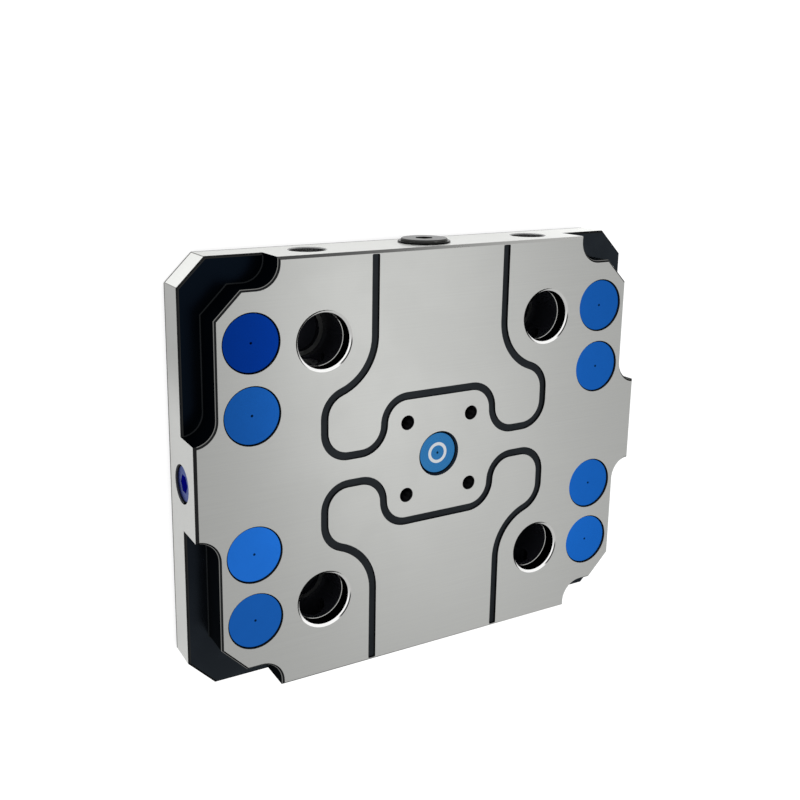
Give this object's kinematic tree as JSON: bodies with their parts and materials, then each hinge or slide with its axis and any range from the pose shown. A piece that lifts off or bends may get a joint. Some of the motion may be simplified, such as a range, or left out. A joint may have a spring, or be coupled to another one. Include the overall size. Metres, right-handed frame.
{
  "type": "zero point clamping plate",
  "caption": "Flat ground steel clamping plate that locks clamping studs in blind bores by pistons driven from a screw in its side, with corner ledges for edge clamps.",
  "frame": {"origin": "centre of the bottom face of the plate", "axes": "+Z out of the clamping face, +X along the long side, +Y towards the actuating screw"},
  "size_m": [0.192, 0.1575, 0.027],
  "materials": {
    "ground_steel": "surface ground, satin, blackened in the ledges, grooves and chamfers",
    "blue_anodised": "blue anodised, satin",
    "light_blue_anodised": "lighter blue anodised, satin, with a white target",
    "black_oxide": "black oxide steel",
    "hardened_steel": "hardened and ground steel",
    "spring_steel": "bright spring steel",
    "seal_rubber": "black nitrile rubber"
  },
  "bodies": {
    "base": {"clamping_plate": "ground_steel", "mounting_cover_1": "blue_anodised", "mounting_cover_2": "blue_anodised", "mounting_cover_3": "blue_anodised", "mounting_cover_4": "blue_anodised", "mounting_cover_5": "blue_anodised", "mounting_cover_6": "blue_anodised", "mounting_cover_7": "blue_anodised", "mounting_cover_8": "blue_anodised", "centre_cover": "light_blue_anodised", "actuator_bush": "black_oxide", "side_plug_right": "blue_anodised", "return_spring_right": "spring_steel", "bore_plug_upper_right": "black_oxide", "bore_plug_lower_right": "black_oxide", "side_plug_left": "blue_anodised", "return_spring_left": "spring_steel", "bore_plug_upper_left": "black_oxide", "bore_plug_lower_left": "black_oxide"},
    "drive": {"actuating_screw": "black_oxide", "retaining_ring": "spring_steel", "screw_seal": "seal_rubber"},
    "nut": {"wedge_nut": "hardened_steel"},
    "rod_right": {"push_rod_right": "hardened_steel"},
    "piston_upper_right": {"locking_piston_upper_right": "hardened_steel", "piston_seal_upper_right": "seal_rubber"},
    "piston_lower_right": {"locking_piston_lower_right": "hardened_steel", "piston_seal_lower_right": "seal_rubber"},
    "rod_left": {"push_rod_left": "hardened_steel"},
    "piston_upper_left": {"locking_piston_upper_left": "hardened_steel", "piston_seal_upper_left": "seal_rubber"},
    "piston_lower_left": {"locking_piston_lower_left": "hardened_steel", "piston_seal_lower_left": "seal_rubber"}
  },
  "joints": [
    {"name": "nut_slide", "type": "slide", "parent": "base", "child": "nut", "axis": [0, -1, 0], "range_m": [0, 0.0075]},
    {"name": "drive_turn", "type": "hinge", "parent": "base", "child": "drive", "pos_m": [0, 0.078, 0.0135], "axis": [0, -1, 0], "range_deg": [0, 1800]},
    {"name": "rod_right_slide", "type": "slide", "parent": "base", "child": "rod_right", "axis": [1, 0, 0], "range_m": [0, 0.00375], "deforming": ["return_spring_right"]},
    {"name": "piston_upper_right_slide", "type": "slide", "parent": "base", "child": "piston_upper_right", "axis": [0, 1, 0], "range_m": [0, 0.003]},
    {"name": "piston_lower_right_slide", "type": "slide", "parent": "base", "child": "piston_lower_right", "axis": [0, -1, 0], "range_m": [0, 0.003]},
    {"name": "rod_left_slide", "type": "slide", "parent": "base", "child": "rod_left", "axis": [-1, 0, 0], "range_m": [0, 0.00375], "deforming": ["return_spring_left"]},
    {"name": "piston_upper_left_slide", "type": "slide", "parent": "base", "child": "piston_upper_left", "axis": [0, 1, 0], "range_m": [0, 0.003]},
    {"name": "piston_lower_left_slide", "type": "slide", "parent": "base", "child": "piston_lower_left", "axis": [0, -1, 0], "range_m": [0, 0.003]}
  ],
  "couplings": [
    {"joint": "drive_turn", "follows": "nut_slide", "rad_per_m": 4188.8},
    {"joint": "rod_right_slide", "follows": "nut_slide", "ratio": 0.5},
    {"joint": "piston_upper_right_slide", "follows": "nut_slide", "ratio": 0.4},
    {"joint": "piston_lower_right_slide", "follows": "nut_slide", "ratio": 0.4},
    {"joint": "rod_left_slide", "follows": "nut_slide", "ratio": 0.5},
    {"joint": "piston_upper_left_slide", "follows": "nut_slide", "ratio": 0.4},
    {"joint": "piston_lower_left_slide", "follows": "nut_slide", "ratio": 0.4}
  ]
}
